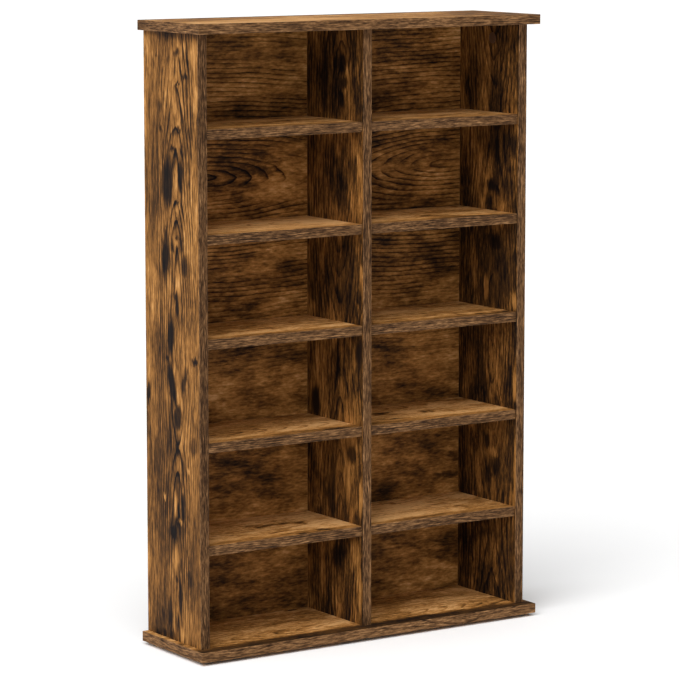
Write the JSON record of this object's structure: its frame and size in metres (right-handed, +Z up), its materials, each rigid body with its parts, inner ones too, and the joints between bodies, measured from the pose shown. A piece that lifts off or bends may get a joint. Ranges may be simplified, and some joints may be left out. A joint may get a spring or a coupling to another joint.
{
  "type": "cd cabinet",
  "caption": "Open cd cabinet: columns of equal compartments between overhanging top and bottom panels, on small glides.",
  "frame": {"origin": "on the floor, under the middle of the whole cabinet", "axes": "+X to the right along the width, +Y to the back, +Z up; the open front faces -Y"},
  "size_m": [0.61, 0.178, 0.941],
  "materials": {
    "oak_board": "smoked oak decor paper on chipboard, matt",
    "oak_edging": "smoked oak edge band, matt",
    "hardboard": "thin hardboard, smoked oak decor on its front",
    "beech": "plain fluted beech",
    "zinc": "plain zinc casting",
    "steel": "zinc-plated steel",
    "brown_plastic": "matt moulded plastic",
    "grey_plastic": "matt moulded plastic"
  },
  "bodies": {
    "root": {"back_panel": "hardboard", "base_screws": "steel", "bottom_panel": "oak_board", "bottom_panel_edging": "oak_edging", "cam_bolts": "steel", "cam_covers": "brown_plastic", "cam_locks": "zinc", "carcass_dowels": "beech", "centre_divider": "oak_board", "divider_dowels": "beech", "divider_edging": "oak_edging", "double_ended_bolt": "steel", "front_centre_glide": "grey_plastic", "front_left_glide": "grey_plastic", "front_right_glide": "grey_plastic", "left_shelf_1": "oak_board", "left_shelf_2": "oak_board", "left_shelf_3": "oak_board", "left_shelf_4": "oak_board", "left_shelf_5": "oak_board", "left_side_edging": "oak_edging", "left_side_panel": "oak_board", "rear_centre_glide": "grey_plastic", "rear_left_glide": "grey_plastic", "rear_right_glide": "grey_plastic", "right_shelf_1": "oak_board", "right_shelf_2": "oak_board", "right_shelf_3": "oak_board", "right_shelf_4": "oak_board", "right_shelf_5": "oak_board", "right_side_edging": "oak_edging", "right_side_panel": "oak_board", "shelf_dowels": "beech", "shelf_edging": "oak_edging", "top_panel": "oak_board", "top_panel_edging": "oak_edging"}
  },
  "joints": []
}
